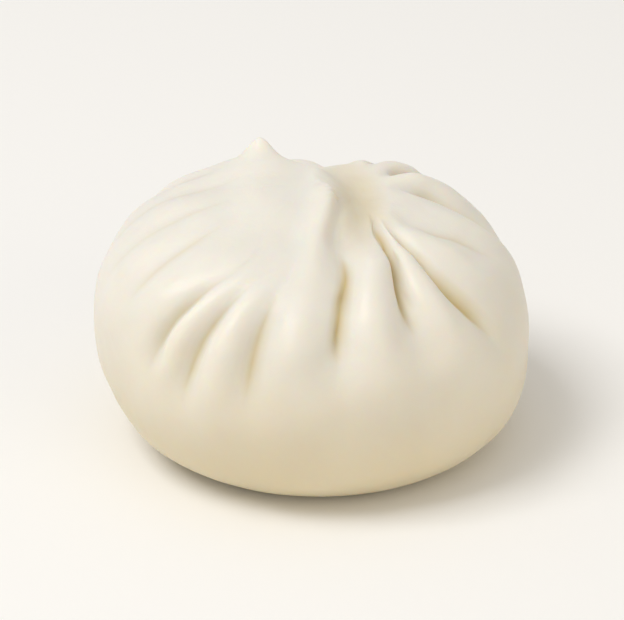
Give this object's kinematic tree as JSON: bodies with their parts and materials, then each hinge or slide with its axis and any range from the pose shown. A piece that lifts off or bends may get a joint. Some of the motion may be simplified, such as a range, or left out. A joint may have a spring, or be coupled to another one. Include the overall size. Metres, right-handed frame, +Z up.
{
  "type": "baozi",
  "caption": "Steamed white bun with pleats that run up to a last fold with a pinched tip, standing on a small flat foot.",
  "frame": {"origin": "centre of the bun's outline, on the plane of its flat foot", "axes": "+Z up through the crown, -Y towards the side where the last fold ends, +X to the right of it"},
  "size_m": [0.0758, 0.077, 0.049],
  "materials": {
    "dough": "smooth, soft white steamed dough with a faint satin skin"
  },
  "bodies": {
    "root": {"bun": "dough"}
  },
  "joints": []
}
